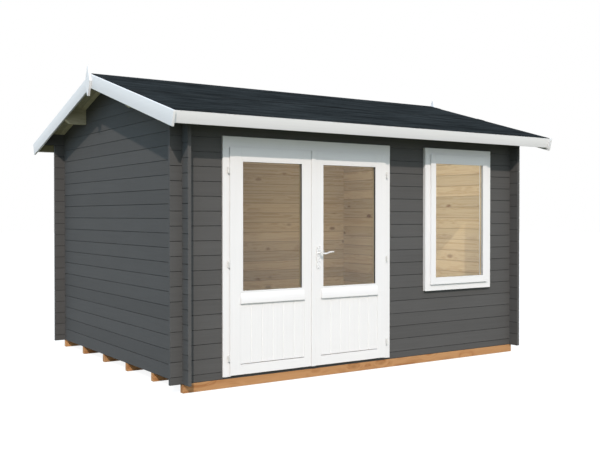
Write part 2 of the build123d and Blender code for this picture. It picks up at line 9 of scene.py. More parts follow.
import bmesh
import bpy
from bpy.props import FloatProperty, FloatVectorProperty, PointerProperty
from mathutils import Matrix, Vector


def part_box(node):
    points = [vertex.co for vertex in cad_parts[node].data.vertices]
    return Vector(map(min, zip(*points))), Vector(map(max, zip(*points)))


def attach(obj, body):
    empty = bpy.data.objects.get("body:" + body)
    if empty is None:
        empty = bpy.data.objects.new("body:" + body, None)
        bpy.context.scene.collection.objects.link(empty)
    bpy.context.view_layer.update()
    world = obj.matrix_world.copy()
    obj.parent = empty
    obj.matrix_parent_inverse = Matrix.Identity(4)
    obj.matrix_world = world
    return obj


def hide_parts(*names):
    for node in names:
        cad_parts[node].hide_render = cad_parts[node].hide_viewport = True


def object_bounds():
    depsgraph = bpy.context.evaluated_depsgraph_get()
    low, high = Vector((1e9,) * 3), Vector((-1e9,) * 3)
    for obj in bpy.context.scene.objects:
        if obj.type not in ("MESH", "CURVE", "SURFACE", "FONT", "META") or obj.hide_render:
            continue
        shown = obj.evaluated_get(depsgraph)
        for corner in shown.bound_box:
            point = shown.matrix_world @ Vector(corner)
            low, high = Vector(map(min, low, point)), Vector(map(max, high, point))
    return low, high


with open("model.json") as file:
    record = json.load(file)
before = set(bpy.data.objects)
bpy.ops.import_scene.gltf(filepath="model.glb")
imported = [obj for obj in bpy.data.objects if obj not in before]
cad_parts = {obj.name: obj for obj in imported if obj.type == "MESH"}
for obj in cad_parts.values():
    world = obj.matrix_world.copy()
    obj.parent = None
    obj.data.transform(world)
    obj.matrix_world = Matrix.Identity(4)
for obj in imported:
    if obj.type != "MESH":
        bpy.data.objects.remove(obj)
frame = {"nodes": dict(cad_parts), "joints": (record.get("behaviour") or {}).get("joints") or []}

bl_info = {
    "name": "Garden Shed Finish",
    "version": (1, 0, 0),
    "blender": (4, 5, 0),
    "location": "View3D > Sidebar > Shed",
    "description": "Dresses a log-built garden shed and sets it on a plain stage",
    "category": "Add Mesh",
}

CAD_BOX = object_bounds()
SHED_BODY = "shed"
LONG_WALLS = (
    "front_wall_left", "front_wall_below_window", "front_wall_middle", "front_wall_right",
    "front_header_log", "front_eaves_log", "back_wall", "back_eaves_log",
)
GABLE_WALLS = ("left_gable_wall", "right_gable_wall")
BOX_FACES = (
    (0, 1, 3, 2), (4, 6, 7, 5), (0, 4, 5, 1), (2, 3, 7, 6), (0, 2, 6, 4), (1, 5, 7, 3),
)
WHITE = (1.0, 1.0, 1.0, 1.0)
RING_SCALE = 22.0
AXES = {"X": (1.0, 0.0, 0.0), "Y": (0.0, 1.0, 0.0)}
# Shape of a hinge's knuckle, in shares of its height and of its radius
KNUCKLE = ((0.0, 0.9), (0.03, 1.0), (0.86, 1.0), (0.95, 0.86), (1.0, 0.5))
# Turned parts of the handle as (distance, radius), outwards from the face of a back plate
SCREW = [(0.0, 0.0042), (0.0006, 0.0042), (0.0013, 0.0028)]
ROSE = [(0.0, 0.0125), (0.0022, 0.0125), (0.003, 0.0115)]
LOCK = [(0.0, 0.0088), (0.0015, 0.0088), (0.002, 0.0082)]
# The neck of a lever in the same way, and how far off the plate it starts
NECK = [(0.0, 0.0098), (0.004, 0.0085), (0.02, 0.0075)]
LEVER_START = 0.0033
# Corners of the key's slot round the middle of the lock, and how far it stands off the plate
KEYWAY = (-0.0008, -0.0055), (0.0008, 0.003)
KEYWAY_REACH = 0.0015, 0.0022


# Settings that a user would change


def colour(name, description, default):
    """A setting for an opaque colour."""
    return FloatVectorProperty(name=name, description=description, subtype="COLOR", size=4,
                               default=(*default, 1.0))


def length(name, description, default):
    """A setting for a length in metres."""
    return FloatProperty(name=name, description=description, unit="LENGTH", default=default)


def angle(name, description, degrees):
    """A setting for an angle."""
    return FloatProperty(name=name, description=description, subtype="ANGLE",
                         default=radians(degrees))


class ShedColours(bpy.types.PropertyGroup):
    """Colours of the shed's finishes."""

    grey_paint: colour("Grey paint", "Paint on the outside of the logs", (0.095, 0.0945, 0.0945))
    white_paint: colour(
        "White paint", "Paint on the doors, the window and the roof edges", (0.796, 0.796, 0.806))
    pale_pine: colour("Pale pine", "Early wood of the bare pine", (0.74, 0.60, 0.39))
    dark_pine: colour("Dark pine", "Late wood of the bare pine", (0.56, 0.39, 0.205))
    knot: colour("Knot", "Heart of a knot in the pine", (0.27, 0.135, 0.055))
    pale_bearer: colour("Pale bearer", "Early wood of the treated bearers", (0.595, 0.33, 0.155))
    dark_bearer: colour("Dark bearer", "Late wood of the treated bearers", (0.355, 0.15, 0.055))
    # The roof pine is greyer than the pine in the room: the grey is painted cool shade, as under
    # the roof.
    pale_roof_pine: colour(
        "Pale roof pine", "Early wood of the roof boards and purlins", (0.545, 0.51, 0.375))
    dark_roof_pine: colour(
        "Dark roof pine", "Late wood of the roof boards and purlins", (0.42, 0.375, 0.255))
    felt: colour("Felt", "Mineral surface of the roof felt", (0.0215, 0.0245, 0.0255))
    hinge: colour("Hinge", "Zinc of the hinges", (0.74, 0.74, 0.72))
    handle: colour("Handle", "Satin metal of the door handle", (0.78, 0.78, 0.77))
    seal: colour("Seal", "Seal and spacer between the panes of the doors", (0.045, 0.038, 0.032))
    spacer: colour("Spacer", "Metal spacer between the panes of the window", (0.52, 0.53, 0.58))
    # Painted shade: the near-black slot stands in for the shade inside the key hole
    keyhole_shade: colour("Keyhole Shade", "Dark slot of the lock", (0.02, 0.02, 0.02))
    # Painted shade put into the joints of the logs on the grey faces that look inwards
    joint_shade: colour("Joint shade", "Joints in the grey paint", (0.012, 0.012, 0.012))
    glass: colour("Glass", "Tint of the panes", (0.98, 0.99, 0.985))
    glass_light: colour("Glass light", "Tint of the light behind the panes", (0.84, 0.85, 0.84))


class ShedSizes(bpy.types.PropertyGroup):
    """Sizes of what is added to the frame."""

    log_height: length("Log height", "Height of one course of logs", 0.114)
    board_width: length("Board width", "Cover width of the floor and roof boards", 0.096)
    board_gap: length("Board gap", "Gap between two boards", 0.0008)
    board_edge: length("Board edge", "Chamfer on the edges of the boards", 0.003)
    trim_edge: length("Trim edge", "Rounding on the edges of the painted trim", 0.0025)
    sawn_edge: length("Sawn edge", "Rounding on the edges of the sawn timbers", 0.002)
    joint_edge: length("Joint edge", "Rounding on the members of the doors and the window", 0.0012)
    fit: length("Fit", "Gap between two pieces that touch", 0.0003)
    rebate: length("Rebate", "Width of the rebate that holds a pane", 0.012)
    pane_gap: length("Pane gap", "Gap between the two panes of a glazed unit", 0.016)
    leaf_body: length("Leaf body", "Thickness of a door leaf behind its lip", 0.036)
    leaf_inset: length("Leaf inset", "Step from the lip of a door leaf to its body", 0.021)
    meeting_reach: length(
        "Meeting reach", "Reach of each leaf's edge into the gap where they meet", 0.0012)
    meeting_inset: length(
        "Meeting inset", "Step from the lip to the body where the leaves meet", 0.002)
    panel_foot: length("Panel foot", "Gap under the panel of a door leaf", 0.006)
    casing: length("Casing", "Thickness of the window's outer casing boards", 0.031)
    inner_casing: length("Inner casing", "Thickness of the window's inner casing boards", 0.016)
    casing_web: length(
        "Casing web", "Depth of the window frame inside the opening of the logs", 0.026)
    sash_lap: length("Sash lap", "Overlap of the sash on the window frame", 0.016)
    sash_lip: length("Sash lip", "Thickness of the lip of the sash", 0.018)
    knuckle_height: length("Knuckle height", "Height of one half of a hinge", 0.027)
    knuckle_radius: length("Knuckle radius", "Radius of a hinge", 0.0075)
    hinge_arm: length("Hinge arm", "Radius of the arms of a hinge", 0.0035)
    hinge_edge: length("Hinge edge", "Rounding on the edges of a hinge", 0.0003)
    handle_edge: length("Handle edge", "Rounding on the edges of the levers", 0.0004)
    plate_edge: length("Plate edge", "Rounding on the edges of the back plates", 0.0005)
    plate_corner: length("Plate corner", "Radius of the corners of the back plates", 0.009)
    screw_margin: length("Screw margin", "From the end of a back plate to its screw", 0.013)
    lock_drop: length("Lock drop", "From the lever's axis down to the lock", 0.072)
    plate_thickness: length("Plate thickness", "Thickness of the back plates of the handle", 0.006)
    lever_thickness: length("Lever thickness", "Thickness of the lever from front to back", 0.013)
    felt_thickness: length("Felt thickness", "Thickness of one layer of felt", 0.003)
    felt_roll_width: length("Felt roll width", "Width of one strip of felt up the slope", 0.95)
    felt_cut: length(
        "Felt cut", "How far the felt's front edge is trimmed back to the fascia", 0.002)
    felt_lap: length("Felt lap", "Overlap of two strips of felt", 0.09)
    ridge_strip: length("Ridge strip", "Reach of the ridge strip down each slope", 0.16)


class ShedStage(bpy.types.PropertyGroup):
    """Light, floor and camera."""

    sun_strength: FloatProperty(
        name="Sun strength", description="Strength of the sun lamp", default=2.36)
    sun_spread: angle("Sun spread", "Angle across the sun's disc", 1.2)
    sun_travel: FloatVectorProperty(
        name="Sun travel", description="Direction in which the sunlight travels",
        subtype="DIRECTION", default=(0.459, 0.684, -0.567))
    sun_colour: FloatVectorProperty(
        name="Sun colour", description="Colour of the sunlight",
        subtype="COLOR", default=(1.0, 0.865, 0.76))
    sky_strength: FloatProperty(
        name="Sky strength", description="Strength of the soft light from all round", default=1.3)
    front_sky: colour(
        "Front sky", "Colour of the soft light from the sun's side", (0.855, 0.93, 1.0))
    far_sky: colour(
        "Far sky", "Colour of the soft light from the sides and above", (0.29, 0.59, 0.89))
    back_sky: colour("Back sky", "Colour of the soft light from behind", (0.97, 0.98, 0.95))
    floor_colour: colour(
        "Floor colour", "Colour of the light that the floor sends back", (0.20, 0.197, 0.13))
    floor_shade: colour(
        "Floor shade", "Colour that shows shadows where the floor is seen", (0.2, 0.2, 0.2))
    floor_glow: FloatProperty(
        name="Floor glow", description="Brightness of the floor where it is seen", default=0.9)
    room_light: FloatProperty(
        name="Room light", description="Power of the soft lamp inside the room, in watts",
        default=15.5)
    room_light_colour: FloatVectorProperty(
        name="Room light colour", description="Colour of the soft lamp inside the room",
        subtype="COLOR", default=(1.0, 0.965, 0.88))
    room_light_size: length("Room light size", "Width of the soft lamp inside the room", 0.9)
    floor_radius: length("Floor radius", "Reach of the floor", 60.0)
    camera_place: FloatVectorProperty(
        name="Camera place", description="Where the camera stands",
        subtype="TRANSLATION", unit="LENGTH", default=(-4.5749, -7.1488, 1.3489))
    camera_yaw: angle("Camera yaw", "Turn of the camera to the right of +Y", 33.738)
    camera_pitch: angle("Camera pitch", "Tilt of the camera below the horizon", 0.644)
    camera_lens: FloatProperty(
        name="Camera lens", description="Focal length on a 36 mm wide sensor, in millimetres",
        default=50.30)


# Shader nodes


def plug(tree, node, sockets):
    """Links inputs of a node to outputs, or sets the inputs' own values."""
    for key, value in sockets.items():
        if isinstance(value, bpy.types.NodeSocket):
            tree.links.new(value, node.inputs[key])
        else:
            node.inputs[key].default_value = value


def place(tree, kind, sockets=None, **options):
    """A new node with its options set and its inputs plugged."""
    node = tree.nodes.new(kind)
    for key, value in options.items():
        setattr(node, key, value)
    plug(tree, node, sockets or {})
    return node


def calc(tree, operation, *values):
    """The result of a Math node."""
    node = place(tree, "ShaderNodeMath", dict(enumerate(values)), operation=operation)
    return node.outputs[0]


def join(tree, operation, first, second, output="Vector"):
    """The result of a Vector Math node."""
    node = place(tree, "ShaderNodeVectorMath", {0: first, 1: second}, operation=operation)
    return node.outputs[output]


def stretch(tree, vector, factors):
    """A vector multiplied by three factors."""
    return join(tree, "MULTIPLY", vector, factors)


def combine(tree, x=0.0, y=0.0, z=0.0):
    """A vector from its three parts."""
    return place(tree, "ShaderNodeCombineXYZ", {0: x, 1: y, 2: z}).outputs[0]


def parts(tree, vector):
    """The three parts of a vector."""
    return place(tree, "ShaderNodeSeparateXYZ", {0: vector}).outputs


def remap(tree, value, low, high, to_low=0.0, to_high=1.0):
    """A value carried smoothly from one range to another."""
    sockets = {
        "Value": value, "From Min": low, "From Max": high, "To Min": to_low, "To Max": to_high,
    }
    node = place(tree, "ShaderNodeMapRange", sockets, interpolation_type="SMOOTHSTEP")
    return node.outputs[0]


def noise(tree, vector, scale=1.0, detail=4.0, roughness=0.55, distortion=0.0):
    """The grey value of a noise texture."""
    sockets = {
        "Vector": vector, "Scale": scale, "Detail": detail, "Roughness": roughness,
        "Distortion": distortion,
    }
    return place(tree, "ShaderNodeTexNoise", sockets).outputs[0]


def blend(tree, first, second, share):
    """Two values added, the first with its share and the second with the rest."""
    return calc(tree, "ADD", calc(tree, "MULTIPLY", first, share),
                calc(tree, "MULTIPLY", second, 1 - share))


def mix_colour(tree, factor, first, second, blend_type="MIX"):
    """Two colours mixed by a factor."""
    sockets = {0: factor, 6: first, 7: second}
    node = place(tree, "ShaderNodeMix", sockets, data_type="RGBA", blend_type=blend_type)
    return node.outputs[2]


def shaded(tree, base, shade):
    """A colour made lighter or darker by a value round one."""
    return mix_colour(tree, 1.0, base, combine(tree, shade, shade, shade), "MULTIPLY")


def object_point(tree):
    """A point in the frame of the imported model."""
    return place(tree, "ShaderNodeTexCoord").outputs["Object"]


def grain_vector(tree, along, tone=None):
    """A point with its first coordinate along the grain, moved by a board's own tone."""
    x, y, z = parts(tree, object_point(tree))
    order = {"X": (x, y, z), "Y": (y, x, z), "Z": (z, x, y)}[along]
    vector = combine(tree, *order)
    if tone is None:
        return vector
    spread = 9.0
    return join(tree, "ADD", vector, combine(tree, calc(tree, "MULTIPLY", tone, spread)))


def bump(tree, height, strength, distance):
    """A normal that follows a height."""
    sockets = {"Height": height, "Strength": strength, "Distance": distance}
    return place(tree, "ShaderNodeBump", sockets).outputs[0]


def mix_shaders(tree, factor, first, second):
    """Two shaders mixed by a factor, and plugged into the end node of a material or a world."""
    sockets = {0: factor, 1: first.outputs[0], 2: second.outputs[0]}
    end = next(node for node in tree.nodes if node.type.startswith("OUTPUT"))
    plug(tree, end, {"Surface": place(tree, "ShaderNodeMixShader", sockets).outputs[0]})


# Effects that several finishes share, each one a node group


def effect(name, inputs, outputs):
    """Turns a function that joins up nodes into one that places them as a node group.

    The inputs go with their defaults: None for a vector, a number, or a colour.
    The function that comes out takes a tree and the inputs in order, and gives the outputs.
    """
    kinds = {type(None): "NodeSocketVector", float: "NodeSocketFloat", tuple: "NodeSocketColor"}

    def build(fill):
        tree = bpy.data.node_groups.new(name, "ShaderNodeTree")
        for label, default in inputs.items():
            socket = tree.interface.new_socket(
                name=label, in_out="INPUT", socket_type=kinds[type(default)])
            if default is not None:
                socket.default_value = default
        for label in outputs:
            kind = kinds[tuple] if label == "Color" else kinds[float]
            tree.interface.new_socket(name=label, in_out="OUTPUT", socket_type=kind)
        given = tree.nodes.new("NodeGroupInput").outputs
        results = fill(tree, *(given[label] for label in inputs))
        plug(tree, tree.nodes.new("NodeGroupOutput"), dict(zip(outputs, results)))
        return tree

    def wrap(fill):
        def use(tree, *values):
            group = bpy.data.node_groups.get(name) or build(fill)
            sockets = dict(zip(inputs, values))
            return place(tree, "ShaderNodeGroup", sockets, node_tree=group).outputs
        return use
    return wrap


@effect("Timber Grain",
        {"Vector": None, "Ring Scale": RING_SCALE, "Knot Scale": 6.5, "Knot Size": 0.20},
        ["Rings", "Knots"])
def timber_grain(tree, vector, ring_scale, knot_scale, knot_size):
    """Growth rings and knots of a pine board, with its grain along the first coordinate."""
    knot_shape, knot_start = (0.5, 1.0, 1.0), (3.1, 7.3, 1.7)
    heart_share, halo_share, swirl_depth = 0.35, 3.2, 0.9
    oval = join(tree, "ADD", stretch(tree, vector, knot_shape), knot_start)
    cells = place(tree, "ShaderNodeTexVoronoi", {"Vector": oval, "Scale": knot_scale}).outputs
    heart = calc(tree, "MULTIPLY", knot_size, heart_share)
    halo_size = calc(tree, "MULTIPLY", knot_size, halo_share)
    strength = remap(tree, parts(tree, cells["Color"])[0], 0.0, 1.0, 0.5, 1.0)
    knots = remap(tree, cells["Distance"], heart, knot_size, strength, 0.0)
    halo = remap(tree, cells["Distance"], 0.0, halo_size, 1.0, 0.0)
    swirl = combine(tree, y=calc(tree, "MULTIPLY", halo, swirl_depth))

    along, bands, steepness = 0.5, 8.0, 1.8
    long_vector = stretch(tree, vector, combine(tree, along, ring_scale, ring_scale))
    figure = noise(tree, join(tree, "ADD", long_vector, swirl),
                   detail=3.0, roughness=0.5, distortion=0.3)
    rings = calc(tree, "PINGPONG", calc(tree, "MULTIPLY", figure, bands), 1.0)
    pores = noise(tree, stretch(tree, vector, (5.0, 260.0, 260.0)), detail=3.0)
    return blend(tree, calc(tree, "POWER", rings, steepness), pores, 0.7), knots


@effect("Pine",
        {"Vector": None, "Tone": 0.5, "Pale": WHITE, "Dark": WHITE, "Knot": WHITE,
         "Ring Scale": RING_SCALE},
        ["Color", "Height"])
def pine_boards(tree, vector, tone, pale, dark, knot, ring_scale):
    """Colour of pine boards, and the height of their grain."""
    grain = timber_grain(tree, vector, ring_scale)
    wood = mix_colour(tree, grain["Rings"], pale, dark)
    wood = shaded(tree, wood, remap(tree, tone, 0.0, 1.0, 0.86, 1.08))
    return mix_colour(tree, grain["Knots"], wood, knot), grain["Rings"]


@effect("Brush Marks", {"Vector": None}, ["Marks", "Height"])
def brush_marks(tree, vector):
    """Brush marks and the grain that shows through a coat of paint, along the first coordinate."""
    broad = noise(tree, stretch(tree, vector, (1.4, 70.0, 70.0)), detail=4.0)
    fine = noise(tree, stretch(tree, vector, (6.0, 380.0, 380.0)), detail=3.0)
    cloud = noise(tree, vector, scale=2.2, detail=2.0)
    streaks = blend(tree, broad, fine, 0.6)
    return blend(tree, streaks, cloud, 0.7), streaks


@effect("Board Rows", {"Position": 0.0, "Start": 0.0, "Width": 0.1}, ["Tone", "From Joint"])
def board_rows(tree, position, start, width):
    """A tone of its own for each board or log along one coordinate, and how far its joint is."""
    row = calc(tree, "DIVIDE", calc(tree, "SUBTRACT", position, start), width)
    number = calc(tree, "FLOOR", row)
    draw = place(tree, "ShaderNodeTexWhiteNoise", {"W": number}, noise_dimensions="1D")
    return draw.outputs["Value"], calc(tree, "PINGPONG", row, 0.5)


@effect("Room Side", {"Vector": None, "Half Width": 1.0, "Half Depth": 1.0}, ["Mask"])
def room_side(tree, vector, half_width, half_depth):
    """One within the room, and zero outside it."""
    x, y = parts(tree, vector)[:2]
    in_width = calc(tree, "LESS_THAN", calc(tree, "ABSOLUTE", x), half_width)
    in_depth = calc(tree, "LESS_THAN", calc(tree, "ABSOLUTE", y), half_depth)
    return [calc(tree, "MULTIPLY", in_width, in_depth)]


@effect("Inner Side", {"Axis": None}, ["Mask"])
def inner_side(tree, axis):
    """One on faces that look to the middle of the shed along an axis, and zero on the others."""
    geometry = place(tree, "ShaderNodeNewGeometry").outputs
    normal = join(tree, "DOT_PRODUCT", geometry["True Normal"], axis, "Value")
    position = join(tree, "DOT_PRODUCT", geometry["Position"], axis, "Value")
    facing, limit = calc(tree, "MULTIPLY", normal, calc(tree, "SIGN", position)), -0.6
    return [calc(tree, "LESS_THAN", facing, limit)]


@effect("Roof Edge Downward Fade", {"Vector": None, "Top": 2.6, "Fall": 0.3, "Depth": 0.12},
        ["Shade"])
def downward_fade(tree, vector, top, fall, depth):
    """Tone of the paint on the roof edges, darker from the roof line down."""
    y, z = parts(tree, vector)[1:]
    level = calc(tree, "ADD", z, calc(tree, "MULTIPLY", calc(tree, "ABSOLUTE", y), fall))
    return [remap(tree, level, calc(tree, "SUBTRACT", top, depth), top, 0.86, 1.04)]


@effect("Handling Marks", {"Vector": None, "Scale": 90.0}, ["Marks"])
def handling_marks(tree, vector, scale):
    """Faint marks of hands and weather on metal."""
    return [noise(tree, vector, scale=scale, detail=5.0)]


# Finishes


def natural_pine(colours):
    """Early wood, late wood and knots of the bare pine."""
    return colours.pale_pine, colours.dark_pine, colours.knot


def roof_pine_in_shade(colours):
    """Early wood, late wood and knots of the pine under the roof, greyer than the room's pine as
    painted cool shade.
    """
    return colours.pale_roof_pine, colours.dark_roof_pine, colours.dark_roof_pine


def new_finish(name, gloss=0.5):
    """An empty material with its Principled shader."""
    material = bpy.data.materials.new(name)
    material.use_nodes = True
    tree = material.node_tree
    tree.nodes.clear()
    surface = place(tree, "ShaderNodeBsdfPrincipled", {"Specular IOR Level": gloss})
    place(tree, "ShaderNodeOutputMaterial", {"Surface": surface.outputs[0]})
    return material, tree, surface


def log_finish(name, along, colours, sizes):
    """Grey paint outside and bare knotty pine inside, on logs that run along X or along Y."""
    material, tree, surface = new_finish(name, gloss=0.01)
    point = object_point(tree)
    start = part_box("front_header_log" if along == "X" else "floor_deck")[0].z
    rows = board_rows(tree, parts(tree, point)["Z"], start, sizes.log_height)
    vector = grain_vector(tree, along, rows["Tone"])
    room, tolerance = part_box("floor_deck")[1], 0.012
    inside = room_side(tree, point, room.x + tolerance, room.y + tolerance)["Mask"]
    paint = brush_marks(tree, vector)
    light = remap(tree, paint["Marks"], 0.3, 0.7, 0.93, 1.07)
    light = calc(tree, "MULTIPLY", light, remap(tree, rows["Tone"], 0.0, 1.0, 0.965, 1.035))
    grey = shaded(tree, colours.grey_paint, light)
    pine = pine_boards(tree, vector, rows["Tone"], *natural_pine(colours))["Color"]
    # Painted shade of the grooves: the joints between the logs are painted darker on the bare pine
    # inside and on the grey faces that look inwards.
    joint_core, joint_rim, joint_shade_depth = 0.015, 0.045, 0.55
    joint = remap(tree, rows["From Joint"], joint_core, joint_rim, joint_shade_depth, 0.0)
    pine = mix_colour(tree, joint, pine, colours.knot)
    plain_side = inner_side(tree, AXES["Y" if along == "X" else "X"])["Mask"]
    plain_joint_shade = calc(tree, "MULTIPLY", joint, plain_side)
    grey = mix_colour(tree, plain_joint_shade, grey, colours.joint_shade)
    plug(tree, surface, {
        "Base Color": mix_colour(tree, inside, grey, pine),
        "Roughness": remap(tree, paint["Marks"], 0.2, 0.8, 0.46, 0.60),
        "Normal": bump(tree, paint["Height"], 0.25, 0.001),
    })
    return material


def white_finish(along, colours, faded_downward=False, bare_axis=None):
    """White paint on timber with its grain along one axis; its inner side is bare if asked."""
    name = "White Paint Along " + along + (" Faded Downward" if faded_downward else "")
    if name in bpy.data.materials:
        return bpy.data.materials[name]
    material, tree, surface = new_finish(name, gloss=0.2)
    vector = grain_vector(tree, along)
    paint = brush_marks(tree, vector)
    coat = shaded(tree, colours.white_paint, remap(tree, paint["Marks"], 0.25, 0.75, 0.96, 1.02))
    # The paint of the roof edges is made darker from the roof line down.
    if faded_downward:
        low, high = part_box("roof_felt")
        fall = (high.z - low.z) / high.y
        coat = shaded(tree, coat, downward_fade(tree, object_point(tree), high.z, fall)["Shade"])
    if bare_axis:
        wood = mix_colour(tree, timber_grain(tree, vector)["Rings"], *roof_pine_in_shade(colours)[:2])
        coat = mix_colour(tree, inner_side(tree, AXES[bare_axis])["Mask"], coat, wood)
    plug(tree, surface, {
        "Base Color": coat,
        "Roughness": remap(tree, paint["Marks"], 0.2, 0.8, 0.34, 0.48),
        "Normal": bump(tree, paint["Height"], 0.18, 0.0008),
    })
    return material


def pine_finish(name, along, across, board_width, woods, rings=RING_SCALE):
    """Bare planed pine, in boards of one width."""
    material, tree, surface = new_finish(name, gloss=0.06)
    position = parts(tree, object_point(tree))[across]
    tone = board_rows(tree, position, CAD_BOX[0][0], board_width)["Tone"]
    pine = pine_boards(tree, grain_vector(tree, along, tone), tone, *woods, rings)
    plug(tree, surface, {
        "Base Color": pine["Color"],
        "Roughness": remap(tree, pine["Height"], 0.0, 1.0, 0.52, 0.66),
        "Normal": bump(tree, pine["Height"], 0.2, 0.0008),
    })
    return material


def felt_finish(colours):
    """Dark mineral felt with streaks along the roof and fine granules."""
    material, tree, surface = new_finish("Mineral Felt", gloss=0.0)
    vector = grain_vector(tree, "X")
    streaks = noise(tree, stretch(tree, vector, (2.0, 15.0, 15.0)), detail=6.0, roughness=0.75)
    patches = noise(tree, stretch(tree, vector, (0.5, 3.5, 3.5)), detail=2.0)
    granules = noise(tree, vector, scale=420.0, detail=2.0, roughness=0.7)
    light = calc(tree, "MULTIPLY", remap(tree, streaks, 0.3, 0.7, 0.47, 1.53),
                 remap(tree, granules, 0.3, 0.7, 0.70, 1.35))
    light = calc(tree, "MULTIPLY", light, remap(tree, patches, 0.3, 0.7, 0.88, 1.12))
    plug(tree, surface, {
        "Base Color": shaded(tree, colours.felt, light),
        "Roughness": remap(tree, granules, 0.3, 0.7, 0.78, 0.95),
        "Normal": bump(tree, granules, 0.5, 0.0015),
    })
    return material


def metal_finish(name, tint, metallic, roughness):
    """Metal with faint handling marks."""
    material, tree, surface = new_finish(name)
    marks = handling_marks(tree, grain_vector(tree, "Z"))["Marks"]
    spread = 0.06
    plug(tree, surface, {
        "Base Color": shaded(tree, tint, remap(tree, marks, 0.3, 0.7, 0.93, 1.05)),
        "Metallic": metallic,
        "Roughness": remap(tree, marks, 0.2, 0.8, roughness - spread, roughness + spread),
    })
    return material


def glass_finish(colours):
    """Clear window glass that lets light through to the room."""
    material, tree, surface = new_finish("Window Glass")
    plug(tree, surface, {
        "Base Color": colours.glass, "Roughness": 0.0, "IOR": 1.31, "Transmission Weight": 1.0,
    })
    path = place(tree, "ShaderNodeLightPath").outputs
    unseen = calc(tree, "MAXIMUM", path["Is Shadow Ray"], path["Is Diffuse Ray"])
    clear = place(tree, "ShaderNodeBsdfTransparent", {"Color": colours.glass_light})
    mix_shaders(tree, unseen, surface, clear)
    return material


# Meshes


def add_box(bm, low, high):
    """Adds a box between two opposite corners."""
    corners = [bm.verts.new(point) for point in product(*zip(low, high))]
    for face in BOX_FACES:
        bm.faces.new([corners[index] for index in face])


def add_rings(bm, rings):
    """Adds a closed body through rings of points, with a cap on each end."""
    loops = [[bm.verts.new(point) for point in ring] for ring in rings]
    bm.faces.new(loops[0])
    bm.faces.new(reversed(loops[-1]))
    for first, last in zip(loops, loops[1:]):
        for index in range(len(first)):
            after = (index + 1) % len(first)
            bm.faces.new((first[after], first[index], last[index], last[after]))


def add_prism(bm, outline, start, end, axis="X"):
    """Adds an outline in the two other coordinates, carried along an axis from start to end."""
    slot = "XYZ".index(axis)
    add_rings(bm, [[(*point[:slot], along, *point[slot:]) for point in outline]
                   for along in (start, end)])


def add_turned(bm, profile, centre, direction, segments=20):
    """Adds a body turned round a direction; its profile has (distance, radius) pairs."""
    turn = Vector(direction).to_track_quat("Z", "Y")
    spokes = [2 * pi * index / segments for index in range(segments)]
    add_rings(bm, [
        [Vector(centre) + turn @ Vector((radius * cos(spoke), radius * sin(spoke), distance))
         for spoke in spokes]
        for distance, radius in profile
    ])


def add_frame(uprights, levels, outer, inner, front, back):
    """Adds a rectangular frame in X and Z: its uprights to one mesh and its levels to another."""
    (left, bottom), (right, top) = outer
    (inner_left, inner_bottom), (inner_right, inner_top) = inner
    add_box(uprights, (left, front, bottom), (inner_left, back, top))
    add_box(uprights, (inner_right, front, bottom), (right, back, top))
    add_box(levels, (inner_left, front, bottom), (inner_right, back, inner_bottom))
    add_box(levels, (inner_left, front, inner_top), (inner_right, back, top))


def inset(rectangle, margin):
    """A rectangle made smaller on every side, or larger by a negative margin."""
    (left, bottom), (right, top) = rectangle
    return (left + margin, bottom + margin), (right - margin, top - margin)


def face_of(node):
    """The rectangle of a node in X and Z."""
    low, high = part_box(node)
    return (low.x, low.z), (high.x, high.z)


def rounded_rectangle(rectangle, radius, steps=6):
    """The outline of a rectangle with round corners, in order."""
    (left, bottom), (right, top) = inset(rectangle, radius)
    corners = ((right, top), (left, top), (left, bottom), (right, bottom))
    return [
        (x + radius * cos(pi / 2 * (quarter + step / steps)),
         z + radius * sin(pi / 2 * (quarter + step / steps)))
        for quarter, (x, z) in enumerate(corners)
        for step in range(steps + 1)
    ]


def joint_place(name):
    """Where a joint of the frame is."""
    return next(Vector(joint["pos_m"]) for joint in frame["joints"] if joint["name"] == name)


def add_object(name, data):
    """A new object in the scene."""
    thing = bpy.data.objects.new(name, data)
    bpy.context.scene.collection.objects.link(thing)
    return thing


def add_mesh(name, bm, material):
    """A new object in the scene from a mesh under construction, with its material."""
    mesh = bpy.data.meshes.new(name)
    bm.to_mesh(mesh)
    bm.free()
    mesh.materials.append(material)
    return add_object(name, mesh)


def soften(piece, edge):
    """Rounds the sharp edges of a piece."""
    bevel = piece.modifiers.new("Rounded edges", "BEVEL")
    bevel.width = edge
    bevel.segments = 2
    bevel.limit_method = "ANGLE"
    bevel.angle_limit = radians(30)
    normals = piece.modifiers.new("Flat faces", "WEIGHTED_NORMAL")
    normals.keep_sharp = True


def make_piece(name, bm, material, body, edge=None, replaces=()):
    """A finished piece from a mesh, riding on its body."""
    bmesh.ops.recalc_face_normals(bm, faces=bm.faces)
    piece = add_mesh(name, bm, material)
    if edge:
        piece.data.shade_smooth()
        soften(piece, edge)
    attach(piece, body)
    if replaces:
        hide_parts(*replaces)


def make_pair(names, meshes, node, body, colours, sizes):
    """The painted uprights and levels of a frame, in place of a node."""
    for name, bm, along, replaces in zip(names, meshes, "ZX", ([node], [])):
        make_piece(name, bm, white_finish(along, colours), body,
                   sizes.joint_edge, replaces)


def dress(nodes, material, edge=None):
    """Gives nodes of the frame their finish and rounded edges."""
    for node in nodes:
        piece = frame["nodes"][node]
        for holder in piece.material_slots:
            holder.material = material
        if edge:
            weld = piece.modifiers.new("Joined corners", "WELD")
            weld.merge_threshold = 0.00001
            soften(piece, edge)


def section(node):
    """The outline of a node in Y and Z at its low-X end, in order round its middle."""
    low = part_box(node)[0].x
    tolerance = 0.00005
    points = {
        (round(v.co.y, 5), round(v.co.z, 5))
        for v in frame["nodes"][node].data.vertices
        if v.co.x < low + tolerance
    }
    middle_y = sum(y for y, z in points) / len(points)
    middle_z = sum(z for y, z in points) / len(points)
    return sorted(points, key=lambda point: atan2(point[1] - middle_z, point[0] - middle_y))


